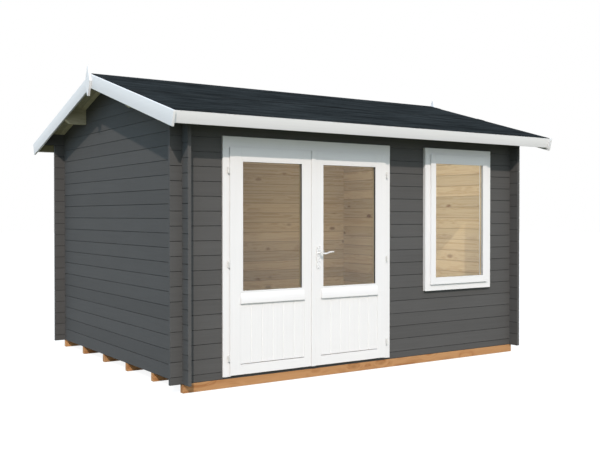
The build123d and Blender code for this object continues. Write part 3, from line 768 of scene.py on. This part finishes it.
def split_boards(low, high, sizes):
    """The left and right edge of each board between two corners, and the pitch of the boards."""
    count = round((high.x - low.x) / sizes.board_width)
    pitch = (high.x - low.x) / count
    half_gap = sizes.board_gap / 2
    return [(low.x + index * pitch + half_gap, low.x + (index + 1) * pitch - half_gap)
            for index in range(count)], pitch


def shed_settings(context):
    """The colours and the sizes that the user has set."""
    return context.scene.shed_colours, context.scene.shed_sizes


# Operators, one for each piece or group of like pieces


class SHED_OT_stage(bpy.types.Operator):
    """Set the floor, the sun, the sky and the camera"""

    bl_idname = "shed.stage"
    bl_label = "Stage"

    def execute(self, context):
        scene = context.scene
        stage = scene.shed_stage
        scene.world = self.make_sky(stage)
        self.make_sun(stage)
        self.make_room_light(stage)
        self.make_floor(stage)
        scene.camera = self.make_camera(stage)
        scene.view_settings.view_transform = "Standard"
        return {"FINISHED"}

    def seen(self, tree):
        """One where a ray shows the background itself, and zero where it only carries light."""
        path = place(tree, "ShaderNodeLightPath").outputs
        plain = calc(tree, "MAXIMUM", path["Is Camera Ray"], path["Is Glossy Ray"])
        return calc(tree, "MAXIMUM", plain, path["Is Transmission Ray"])

    def make_sky(self, stage):
        world = bpy.data.worlds.new("Plain sky")
        world.use_nodes = True
        tree = world.node_tree
        tree.nodes.clear()
        way = place(tree, "ShaderNodeTexCoord").outputs["Generated"]
        backwards = parts(tree, way)["Y"]
        front_end, far_start, back_start = -0.8, 0.3, 0.9
        far = remap(tree, backwards, front_end, far_start)
        back = remap(tree, backwards, far_start, back_start)
        tint = mix_colour(tree, far, stage.front_sky, stage.far_sky)
        tint = mix_colour(tree, back, tint, stage.back_sky)
        sky = place(tree, "ShaderNodeBackground", {"Color": tint, "Strength": stage.sky_strength})
        white = place(tree, "ShaderNodeBackground", {"Color": WHITE, "Strength": 1.0})
        place(tree, "ShaderNodeOutputWorld")
        mix_shaders(tree, self.seen(tree), sky, white)
        return world

    def make_sun(self, stage):
        lamp = bpy.data.lights.new("Sun", "SUN")
        lamp.energy = stage.sun_strength
        lamp.angle = stage.sun_spread
        lamp.color = stage.sun_colour
        sun = add_object("Sun", lamp)
        travel, distance = Vector(stage.sun_travel), 6.0
        sun.rotation_euler = travel.to_track_quat("-Z", "Y").to_euler()
        sun.location = -distance * travel

    def make_room_light(self, stage):
        low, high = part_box("floor_deck")
        lamp = bpy.data.lights.new("Room light", "AREA")
        lamp.energy = stage.room_light
        lamp.size = stage.room_light_size
        lamp.color = stage.room_light_colour
        light = add_object("Room light", lamp)
        light.location = (0.3, low.y / 2, high.z + 1.3)
        lit_place = Vector((high.x, low.y * 0.2, high.z + 1.9))
        aim = lit_place - light.location
        light.rotation_euler = aim.to_track_quat("-Z", "Y").to_euler()
        light.visible_camera = False
        light.visible_glossy = False
        light.visible_transmission = False

    def make_floor(self, stage):
        material, tree, surface = new_finish("Pale Floor", gloss=0.0)
        plug(tree, surface, {"Base Color": stage.floor_colour, "Roughness": 0.9})
        glow = place(tree, "ShaderNodeEmission", {"Color": WHITE, "Strength": stage.floor_glow})
        faint = place(tree, "ShaderNodeBsdfDiffuse", {"Color": stage.floor_shade})
        pale = place(tree, "ShaderNodeAddShader", {0: glow.outputs[0], 1: faint.outputs[0]})
        mix_shaders(tree, self.seen(tree), surface, pale)
        bm = bmesh.new()
        bmesh.ops.create_circle(bm, cap_ends=True, radius=stage.floor_radius, segments=96)
        floor = add_mesh("Floor", bm, material)
        clearance = 0.0005
        floor.location.z = CAD_BOX[0][2] - clearance

    def make_camera(self, stage):
        lens = bpy.data.cameras.new("Camera")
        lens.sensor_fit = "HORIZONTAL"
        lens.sensor_width = 36.0
        lens.lens = stage.camera_lens
        lens.clip_end = 200.0
        camera = add_object("Camera", lens)
        camera.location = stage.camera_place
        camera.rotation_euler = (pi / 2 - stage.camera_pitch, 0.0, -stage.camera_yaw)
        return camera


class SHED_OT_logs(bpy.types.Operator):
    """Paint the log walls and the threshold grey outside and leave them bare inside"""

    bl_idname = "shed.logs"
    bl_label = "Log walls"

    def execute(self, context):
        colours, sizes = shed_settings(context)
        long_finish = log_finish("Logs Along Front", "X", colours, sizes)
        gable_finish = log_finish("Logs Along Gable", "Y", colours, sizes)
        dress(LONG_WALLS, long_finish)
        dress(GABLE_WALLS, gable_finish)
        dress(["door_threshold"], long_finish, sizes.sawn_edge)
        return {"FINISHED"}


class SHED_OT_timbers(bpy.types.Operator):
    """Finish the bearers and the purlins"""

    bl_idname = "shed.timbers"
    bl_label = "Timbers"

    def execute(self, context):
        colours, sizes = shed_settings(context)
        woods = colours.pale_bearer, colours.dark_bearer, colours.knot
        treated = pine_finish("Treated Pine", "X", "Y", board_width=0.5, woods=woods, rings=8.0)
        bare = pine_finish("Pine Along X", "X", "Y", board_width=0.3, woods=roof_pine_in_shade(colours))
        dress(["floor_bearers"], treated, sizes.sawn_edge)
        dress(["front_purlin", "ridge_purlin", "back_purlin"], bare, sizes.sawn_edge)
        return {"FINISHED"}


class SHED_OT_floor(bpy.types.Operator):
    """Lay the floor in boards from front to back"""

    bl_idname = "shed.floor"
    bl_label = "Floor boards"

    def execute(self, context):
        colours, sizes = shed_settings(context)
        low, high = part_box("floor_deck")
        boards, pitch = split_boards(low, high, sizes)
        bm = bmesh.new()
        for left, right in boards:
            add_box(bm, (left, low.y, low.z), (right, high.y, high.z))
        finish = pine_finish("Pine Along Y", "Y", "X", pitch, natural_pine(colours))
        make_piece("floor_boards", bm, finish, SHED_BODY,
                   sizes.board_edge / 2, ["floor_deck"])
        return {"FINISHED"}


class SHED_OT_roof_boards(bpy.types.Operator):
    """Board the two roof slopes from ridge to eaves"""

    bl_idname = "shed.roof_boards"
    bl_label = "Roof boards"

    def execute(self, context):
        colours, sizes = shed_settings(context)
        finish = pine_finish("Roof Pine", "Y", "X", sizes.board_width, roof_pine_in_shade(colours))
        for node in ("front_roof_boards", "back_roof_boards"):
            outline = section(node)
            bm = bmesh.new()
            for left, right in split_boards(*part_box(node), sizes)[0]:
                add_prism(bm, outline, left, right)
            make_piece(node.replace("roof_boards", "roof_planks"), bm, finish, SHED_BODY,
                       sizes.board_edge, [node])
        return {"FINISHED"}


class SHED_OT_felt(bpy.types.Operator):
    """Lay the felt in strips along the roof, with a strip over the ridge"""

    bl_idname = "shed.felt"
    bl_label = "Roof felt"

    def execute(self, context):
        colours, sizes = shed_settings(context)
        low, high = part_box("roof_felt")
        thick = sizes.felt_thickness
        eave = high.y - sizes.felt_cut
        ridge = high.z - thick
        fall = (ridge - low.z) / eave

        def level(y, layers):
            return ridge - abs(y) * fall + layers * thick

        top_strip_end = eave - sizes.felt_roll_width + sizes.felt_lap
        bend = sizes.felt_lap / 3
        bm = bmesh.new()
        start = top_strip_end - sizes.felt_lap
        lower = [(start, 0), (eave, 0), (eave, 1), (start, 1)]
        upper = [(0, 0), (start - bend, 0), (start, 1), (top_strip_end, 1), (top_strip_end, 2),
                 (start, 2), (start - bend, 1), (0, 1)]
        for side in (-1, 1):
            for strip in (lower, upper):
                outline = [(side * y, level(y, layers)) for y, layers in strip]
                add_prism(bm, outline, low.x, high.x)
        reach = sizes.ridge_strip
        add_prism(bm, [(-reach, level(reach, 1)), (0, level(0, 1)), (reach, level(reach, 1)),
                       (reach, level(reach, 2)), (0, level(0, 2)), (-reach, level(reach, 2))],
                  low.x, high.x)
        make_piece("felt_strips", bm, felt_finish(colours), SHED_BODY,
                   replaces=["roof_felt"])
        return {"FINISHED"}


class SHED_OT_roof_edges(bpy.types.Operator):
    """Paint the fascias, the barge boards and the finials"""

    bl_idname = "shed.roof_edges"
    bl_label = "Roof edges"

    def execute(self, context):
        colours, sizes = shed_settings(context)
        fascia_finish = white_finish("X", colours, faded_downward=True, bare_axis="Y")
        barge_finish = white_finish("Y", colours, faded_downward=True)
        dress(["front_fascia", "back_fascia"], fascia_finish, sizes.trim_edge)
        dress(["left_barge_boards", "right_barge_boards"], barge_finish, sizes.trim_edge)
        dress(["left_finial", "right_finial"], white_finish("Z", colours), sizes.trim_edge)
        return {"FINISHED"}


class SHED_OT_door_frame(bpy.types.Operator):
    """Paint the frame that the doors hang in"""

    bl_idname = "shed.door_frame"
    bl_label = "Door frame"

    def execute(self, context):
        colours, sizes = shed_settings(context)
        dress(["left_door_jamb", "right_door_jamb"], white_finish("Z", colours), sizes.trim_edge)
        dress(["door_head"], white_finish("X", colours), sizes.trim_edge)
        return {"FINISHED"}


class SHED_OT_door_leaves(bpy.types.Operator):
    """Build both door leaves from stiles and rails"""

    bl_idname = "shed.door_leaves"
    bl_label = "Door leaves"

    def execute(self, context):
        colours, sizes = shed_settings(context)
        upright, level = white_finish("Z", colours), white_finish("X", colours)
        for side in ("left", "right"):
            self.make_members(side, colours, sizes)
            dress([side + "_door_panel"], upright, sizes.trim_edge / 3)
            dress([side + "_door_drip"], level, sizes.trim_edge)
        dress(["right_door_cover_strip"], upright, sizes.trim_edge)
        return {"FINISHED"}

    def make_members(self, side, colours, sizes):
        """Builds a leaf in front and behind its lip, in distances from its hinge edge."""
        low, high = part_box(side + "_door_frame")
        pane_low, pane_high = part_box(side + "_door_glass")
        panel_low, panel_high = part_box(side + "_door_panel")
        way = 1 if side == "left" else -1
        hinge_edge = low.x if side == "left" else high.x

        def reach(first, second):
            """Distances of two lines from the hinge edge, the nearer one first, with their fit."""
            near, far = sorted(way * (x - hinge_edge) for x in (first, second))
            return near - sizes.fit, far + sizes.fit

        panel_near, panel_far = reach(panel_low.x, panel_high.x)
        pane_near, pane_far = reach(pane_low.x, pane_high.x)
        width = high.x - low.x
        panel_bottom = panel_low.z - sizes.panel_foot
        panel_top = panel_high.z + sizes.fit
        pane_bottom, pane_top = pane_low.z - sizes.fit, pane_high.z + sizes.fit
        lip_back = high.y - sizes.leaf_body
        stiles, rails = bmesh.new(), bmesh.new()

        def member(bm, outline, front, back):
            add_prism(bm, [(hinge_edge + way * u, z) for u, z in outline], front, back, "Y")

        def rail(near, far, bottom, top, front, back):
            member(rails, [(near, bottom), (far, bottom), (far, top), (near, top)], front, back)

        for front, back, step, trim in ((low.y, lip_back, 0.0, -sizes.meeting_reach),
                                        (lip_back, high.y, sizes.leaf_inset, sizes.meeting_inset)):
            top = high.z - step
            end = width - trim
            member(stiles, [(step, low.z), (panel_near, low.z), (panel_near, pane_bottom),
                            (pane_near, pane_bottom), (pane_near, top), (step, top)], front, back)
            member(stiles, [(panel_far, low.z), (end, low.z), (end, top), (pane_far, top),
                            (pane_far, pane_bottom), (panel_far, pane_bottom)], front, back)
            rail(panel_near, panel_far, low.z, panel_bottom, front, back)
            rail(panel_near, panel_far, panel_top, pane_bottom, front, back)
            rail(pane_near, pane_far, pane_top, top, front, back)
        rebate = inset(face_of(side + "_door_glass"), -sizes.fit)
        clear = inset(rebate, sizes.rebate)
        add_frame(stiles, rails, rebate, clear, low.y, pane_low.y - sizes.fit)
        make_pair((side + "_door_stiles", side + "_door_rails"), (stiles, rails),
                  side + "_door_frame", side + "_door", colours, sizes)


class SHED_OT_hinges(bpy.types.Operator):
    """Turn the hinges that carry the doors"""

    bl_idname = "shed.hinges"
    bl_label = "Hinges"

    def execute(self, context):
        colours, sizes = shed_settings(context)
        zinc = metal_finish("Hinge Zinc", colours.hinge, metallic=0.6, roughness=0.38)
        height, radius, arm = sizes.knuckle_height, sizes.knuckle_radius, sizes.hinge_arm
        knuckle = [(up * height, out * radius) for up, out in KNUCKLE]
        lower = bmesh.new()
        for side in ("left", "right"):
            axis = joint_place(side + "_door_hinge")
            way = 1 if side == "left" else -1
            leaf_low, leaf_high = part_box(side + "_door_frame")
            leaf_edge = leaf_low.x if side == "left" else leaf_high.x
            to_leaf = way * (leaf_edge - axis.x)
            to_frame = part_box(side + "_door_jamb")[0].y - axis.y
            low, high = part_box(side + "_door_hinges")
            last = high.z - height
            upper = bmesh.new()
            for level in (low.z, (low.z + last) / 2, last):
                centre = Vector((axis.x, axis.y, level))
                add_turned(upper, knuckle, centre, (0, 0, 1))
                add_turned(upper, [(0.0, arm), (to_leaf, arm)],
                           centre + Vector((0, 0, height / 2)), (way, 0, 0), segments=12)
                joint = centre - Vector((0, 0, 2 * sizes.fit))
                add_turned(lower, knuckle, joint, (0, 0, -1))
                add_turned(lower, [(0.0, arm), (to_frame, arm)],
                           joint - Vector((0, 0, height / 2)), (0, 1, 0), segments=12)
            make_piece(side + "_hinge_halves", upper, zinc, side + "_door",
                       sizes.hinge_edge, [side + "_door_hinges"])
        make_piece("frame_hinge_halves", lower, zinc, SHED_BODY,
                   sizes.hinge_edge, ["door_frame_hinges"])
        return {"FINISHED"}


class SHED_OT_handle(bpy.types.Operator):
    """Shape the door handle: back plates, lock, screws and two levers"""

    bl_idname = "shed.handle"
    bl_label = "Handle"

    def execute(self, context):
        colours, sizes = shed_settings(context)
        satin = metal_finish("Satin Handle", colours.handle, metallic=0.7, roughness=0.28)
        # The key slot is a near-black piece that paints the shade inside the key hole.
        dark = metal_finish("Keyhole Shade", colours.keyhole_shade, metallic=0.0, roughness=0.6)
        axis = joint_place("handle_turn")
        low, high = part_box("handle_plates")
        lock = axis.z - sizes.lock_drop
        outline = rounded_rectangle(face_of("handle_plates"), sizes.plate_corner)
        (left, bottom), (right, top) = KEYWAY
        slot = [(axis.x + x, lock + z)
                for x, z in ((left, bottom), (right, bottom), (right, top), (left, top))]
        plates, keyways, levers = bmesh.new(), bmesh.new(), bmesh.new()
        for way, face in ((-1, low.y), (1, high.y)):
            add_prism(plates, outline, face, face - way * sizes.plate_thickness, "Y")
            for profile, level, segments in (
                (SCREW, low.z + sizes.screw_margin, 16), (SCREW, high.z - sizes.screw_margin, 16),
                (ROSE, axis.z, 32), (LOCK, lock, 32),
            ):
                add_turned(plates, profile, (axis.x, face, level), (0, way, 0), segments)
            near, far = KEYWAY_REACH
            add_prism(keyways, slot, face + way * near, face + way * far, "Y")
            self.add_lever(levers, axis, face + way * LEVER_START, way, sizes)
        make_piece("handle_back_plates", plates, satin, "right_door",
                   sizes.plate_edge, ["handle_plates"])
        make_piece("lock_keyways", keyways, dark, "right_door")
        make_piece("lever_handles", levers, satin, "handle",
                   sizes.handle_edge, ["door_handle"])
        return {"FINISHED"}

    def add_lever(self, bm, axis, face, way, sizes):
        """Adds a neck and a lever that dips, rises and grows thinner to its end."""
        low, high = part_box("door_handle")
        outer = low.y if way < 0 else high.y
        middle = outer - way * sizes.lever_thickness / 2
        add_turned(bm, [*NECK, (abs(middle - face), NECK[-1][1])],
                   (axis.x, face, axis.z), (0, way, 0), segments=24)
        start, end = low.x - axis.x, high.x - axis.x
        rise_start, rise_length, rise_height = 0.042, 0.055, 0.0095
        dip_length, dip_depth = 0.075, 0.0028
        half_height, taper = 0.0085, 0.0025
        end_round, least_end = 0.0075, 0.12
        rings = []
        steps = 30
        for step in range(steps + 1):
            along = start + (end - start) * step / steps
            rise = min(max((along - rise_start) / rise_length, 0.0), 1.0)
            dip = sin(pi * min(max(along / dip_length, 0.0), 1.0))
            level = axis.z + rise_height * rise * rise * (3 - 2 * rise) - dip_depth * dip
            to_end = min(along - start, end - along) / end_round
            size = max((1 - (1 - min(to_end, 1.0)) ** 2) ** 0.5, least_end)
            tall = (half_height - taper * step / steps) * size
            thick = sizes.lever_thickness / 2 * size
            rings.append([(axis.x + along, middle + thick * y, level + tall * z)
                          for y, z in self.rounded_square()])
        add_rings(bm, rings)

    def rounded_square(self):
        """Points of a rounded square of half-width one."""
        count, squareness = 20, 0.6
        turns = [2 * pi * (index + 0.5) / count for index in range(count)]
        return [tuple((abs(part) ** squareness) * (1 if part > 0 else -1)
                      for part in (cos(turn), sin(turn))) for turn in turns]


class SHED_OT_window(bpy.types.Operator):
    """Build the window's casing and its sash from boards"""

    bl_idname = "shed.window"
    bl_label = "Window"

    def execute(self, context):
        colours, sizes = shed_settings(context)
        casing, sash = face_of("window_frame"), face_of("window_sash")
        clear = inset(sash, sizes.sash_lap)
        low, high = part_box("window_frame")
        uprights, levels = bmesh.new(), bmesh.new()
        for outer, front, back in (
            (casing, low.y, low.y + sizes.casing),
            (inset(clear, -sizes.casing_web), low.y + sizes.casing, high.y - sizes.inner_casing),
            (casing, high.y - sizes.inner_casing, high.y),
        ):
            add_frame(uprights, levels, outer, clear, front, back)
        make_pair(("window_casing_uprights", "window_casing_levels"), (uprights, levels),
                  "window_frame", SHED_BODY, colours, sizes)

        low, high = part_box("window_sash")
        rebate = inset(face_of("window_glass"), -sizes.fit)
        pane_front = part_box("window_glass")[0].y - sizes.fit
        lip_back = low.y + sizes.sash_lip
        uprights, levels = bmesh.new(), bmesh.new()
        add_frame(uprights, levels, sash, rebate, low.y, lip_back)
        add_frame(uprights, levels, rebate, inset(rebate, sizes.rebate), low.y, pane_front)
        add_frame(uprights, levels, inset(clear, sizes.fit), rebate, lip_back, high.y)
        make_pair(("window_sash_uprights", "window_sash_levels"), (uprights, levels),
                  "window_sash", SHED_BODY, colours, sizes)
        return {"FINISHED"}


class SHED_OT_glazing(bpy.types.Operator):
    """Glaze the doors and the window with double panes, spacers and beads"""

    bl_idname = "shed.glazing"
    bl_label = "Glazing"

    def execute(self, context):
        colours, sizes = shed_settings(context)
        seal = metal_finish("Dark Seal", colours.seal, metallic=0.0, roughness=0.6)
        spacer = metal_finish("Window Spacer", colours.spacer, metallic=0.3, roughness=0.5)
        pine = pine_finish("Bead Pine", "Z", "X", board_width=0.3, woods=natural_pine(colours))
        glass = glass_finish(colours)
        for side in ("left", "right"):
            leaf = side + "_door"
            self.glaze(leaf + "_glass", leaf + "_frame", leaf, glass, seal, pine, sizes)
        self.glaze("window_glass", "window_sash", SHED_BODY, glass, spacer, pine, sizes)
        return {"FINISHED"}

    def glaze(self, node, holder, body, glass, spacer, bead, sizes):
        """Adds the inner pane, the spacer and the bead behind an outer pane."""
        dress([node], glass)
        low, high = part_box(node)
        thick = high.y - low.y
        inner = high.y + sizes.pane_gap
        outer = face_of(node)
        opening = inset(outer, sizes.rebate - sizes.fit)
        bm = bmesh.new()
        add_box(bm, (low.x, inner, low.z), (high.x, inner + thick, high.z))
        make_piece(node + "_inner", bm, glass, body)
        bm = bmesh.new()
        add_frame(bm, bm, outer, opening, high.y + sizes.fit, inner - sizes.fit)
        make_piece(node + "_spacer", bm, spacer, body)
        bm = bmesh.new()
        add_frame(bm, bm, outer, opening, inner + thick + sizes.fit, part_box(holder)[1].y)
        make_piece(node + "_bead", bm, bead, body, sizes.joint_edge)


OPERATORS = (
    SHED_OT_stage,
    SHED_OT_logs,
    SHED_OT_timbers,
    SHED_OT_floor,
    SHED_OT_roof_boards,
    SHED_OT_felt,
    SHED_OT_roof_edges,
    SHED_OT_door_frame,
    SHED_OT_door_leaves,
    SHED_OT_hinges,
    SHED_OT_handle,
    SHED_OT_window,
    SHED_OT_glazing,
)


class SHED_PT_sidebar(bpy.types.Panel):
    """Lists the steps that finish the shed"""

    bl_idname = "SHED_PT_sidebar"
    bl_label = "Garden Shed"
    bl_space_type = "VIEW_3D"
    bl_region_type = "UI"
    bl_category = "Shed"

    def draw(self, context):
        for operator in OPERATORS:
            self.layout.operator(operator.bl_idname)


SETTINGS = {"shed_colours": ShedColours, "shed_sizes": ShedSizes, "shed_stage": ShedStage}
CLASSES = (*SETTINGS.values(), *OPERATORS, SHED_PT_sidebar)


def register():
    for cls in CLASSES:
        bpy.utils.register_class(cls)
    for name, group in SETTINGS.items():
        setattr(bpy.types.Scene, name, PointerProperty(type=group))


def unregister():
    for name in SETTINGS:
        delattr(bpy.types.Scene, name)
    for cls in reversed(CLASSES):
        bpy.utils.unregister_class(cls)


def main():
    register()
    bpy.ops.shed.stage()
    bpy.ops.shed.logs()
    bpy.ops.shed.timbers()
    bpy.ops.shed.floor()
    bpy.ops.shed.roof_boards()
    bpy.ops.shed.felt()
    bpy.ops.shed.roof_edges()
    bpy.ops.shed.door_frame()
    bpy.ops.shed.door_leaves()
    bpy.ops.shed.hinges()
    bpy.ops.shed.handle()
    bpy.ops.shed.window()
    bpy.ops.shed.glazing()


if __name__ == "__main__":
    main()
